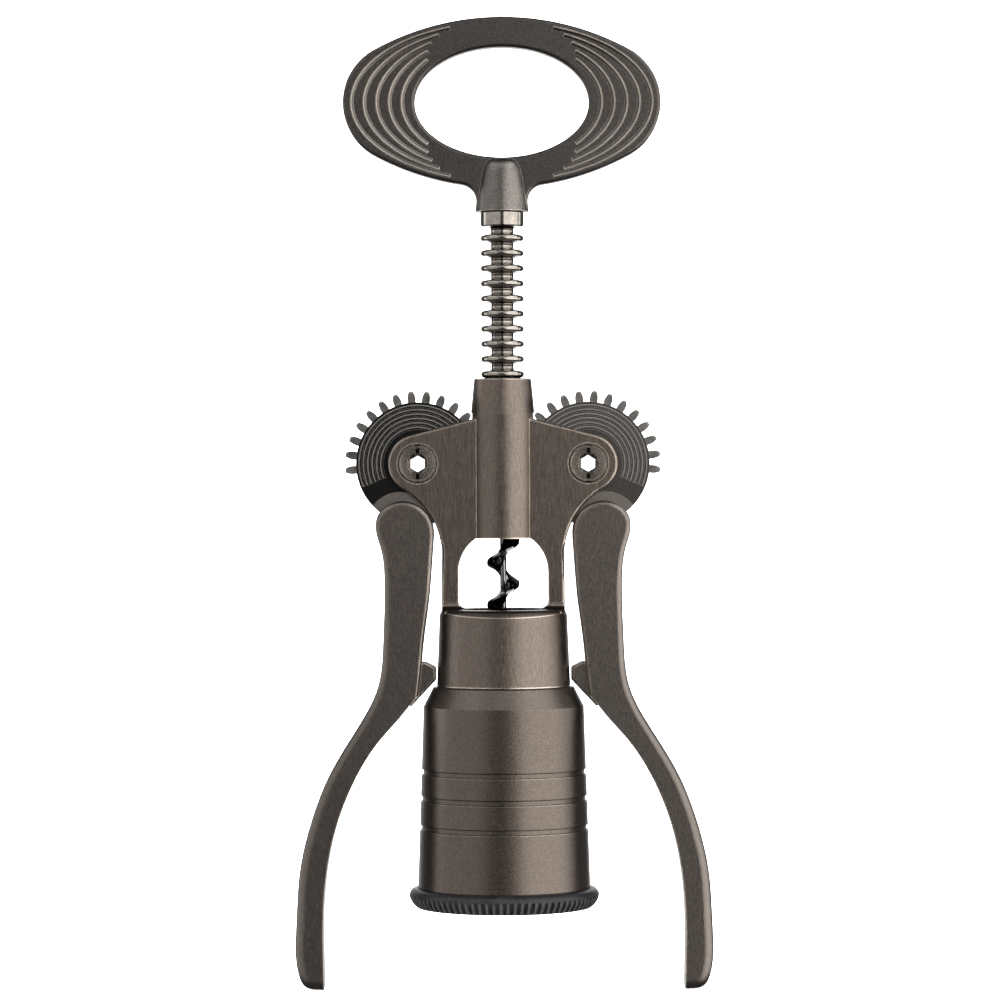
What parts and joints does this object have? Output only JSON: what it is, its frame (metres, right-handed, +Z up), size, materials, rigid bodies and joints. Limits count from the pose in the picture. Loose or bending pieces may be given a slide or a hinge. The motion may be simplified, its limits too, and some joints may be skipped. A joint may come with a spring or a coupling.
{
  "type": "lever_corkscrew",
  "caption": "Twin-lever corkscrew with an oval handle, ring-toothed rack, geared lever arms and a telescopic bell",
  "frame": {"origin": "centre of the bell's mouth on the plane of its rubber rim", "axes": "+Z up along the worm, +X to the right-hand lever, +Y to the back"},
  "size_m": [0.1194, 0.0542, 0.2775],
  "materials": {
    "bronze_satin": "satin dark bronze-grey plating with a fine vertical brushed grain",
    "bronze_blasted": "fine blasted satin dark bronze-grey plating",
    "dark_nickel": "polished dark nickel",
    "nickel": "turned nickel, slightly worn",
    "black_chrome": "dark satin chrome",
    "black_steel": "glossy black coating",
    "blackened_steel": "blackened steel",
    "dark_plastic": "dark low-friction plastic",
    "black_rubber": "matt black rubber"
  },
  "bodies": {
    "bell": {"bell_sleeve": "bronze_blasted", "bell_insert": "dark_plastic", "bell_rubber_rim": "black_rubber"},
    "frame": {"frame": "bronze_satin", "bell_friction_ring": "black_rubber", "bell_circlip": "blackened_steel", "pivot_bolt_right": "nickel", "pivot_bolt_left": "nickel", "pivot_nut_right": "nickel", "pivot_nut_left": "nickel", "thrust_washer_front_right": "dark_plastic", "thrust_washer_front_left": "dark_plastic", "thrust_washer_back_right": "dark_plastic", "thrust_washer_back_left": "dark_plastic"},
    "rack": {"rack_spindle": "dark_nickel"},
    "screw": {"handle": "bronze_satin", "handle_set_screw": "blackened_steel", "thrust_collar": "dark_nickel", "worm": "black_steel"},
    "right_lever": {"gear_sector_right": "black_chrome", "lever_arm_right": "bronze_satin"},
    "left_lever": {"gear_sector_left": "black_chrome", "lever_arm_left": "bronze_satin"}
  },
  "joints": [
    {"name": "bell_slide", "type": "slide", "parent": "bell", "child": "frame", "axis": [0, 0, 1], "range_m": [0, 0.0125]},
    {"name": "rack_slide", "type": "slide", "parent": "frame", "child": "rack", "axis": [0, 0, -1], "range_m": [0, 0.0436]},
    {"name": "handle_turn", "type": "hinge", "parent": "rack", "child": "screw", "pos_m": [0, 0, 0.2], "axis": [0, 0, 1], "continuous": true},
    {"name": "right_lever_hinge", "type": "hinge", "parent": "frame", "child": "right_lever", "pos_m": [0.02435, 0, 0.1266], "axis": [0, -1, 0], "range_deg": [0, 130]},
    {"name": "left_lever_hinge", "type": "hinge", "parent": "frame", "child": "left_lever", "pos_m": [-0.02435, 0, 0.1266], "axis": [0, 1, 0], "range_deg": [0, 130]}
  ],
  "couplings": [
    {"joint": "right_lever_hinge", "follows": "rack_slide", "rad_per_m": 51.948},
    {"joint": "left_lever_hinge", "follows": "rack_slide", "rad_per_m": 51.948}
  ]
}
